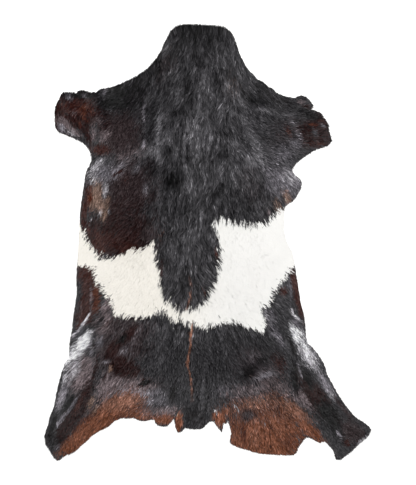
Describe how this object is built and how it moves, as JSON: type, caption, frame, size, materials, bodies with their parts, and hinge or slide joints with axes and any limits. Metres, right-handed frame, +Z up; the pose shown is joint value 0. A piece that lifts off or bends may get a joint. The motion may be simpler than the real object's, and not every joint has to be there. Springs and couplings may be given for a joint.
{
  "type": "goatskin rug",
  "caption": "Whole goatskin with its hair on, laid flat as a rug: cut neck, short forelegs, longer hind legs and a ragged rump edge.",
  "frame": {"origin": "on the floor, under the middle of the rug's outline", "axes": "+Y along the spine towards the neck, +Z up out of the hair, +X to the right of someone who stands at the hind feet and looks to the neck"},
  "size_m": [0.748, 1, 0.0161],
  "materials": {
    "hair_on_skin": "short lying goat hair, black with white and rust areas, satin sheen, on tanned skin"
  },
  "bodies": {
    "root": {"goatskin": "hair_on_skin"}
  },
  "joints": []
}
